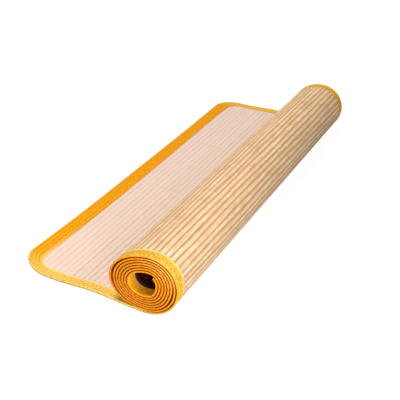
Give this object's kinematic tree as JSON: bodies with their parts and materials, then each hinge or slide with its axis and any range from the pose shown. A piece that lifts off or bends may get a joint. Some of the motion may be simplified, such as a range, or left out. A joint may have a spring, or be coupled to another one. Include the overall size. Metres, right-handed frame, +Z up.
{
  "type": "bamboo mat",
  "caption": "Half-unrolled bamboo slat mat with rounded corners and a golden cloth binding, its slats lying along the roll.",
  "frame": {"origin": "middle of the footprint, on the floor", "axes": "+Y along the roll and the slats, towards the end that is far off in the picture; the flat tail lies towards -X; +Z up"},
  "size_m": [0.2951, 0.9, 0.1043],
  "materials": {
    "bamboo_slats": "satin bamboo, paler on the smooth face than on the ribbed one",
    "golden_cloth": "matt woven cotton tape, stitched down along its edge"
  },
  "bodies": {
    "root": {"slat_mat": "bamboo_slats", "cloth_binding": "golden_cloth"}
  },
  "joints": []
}
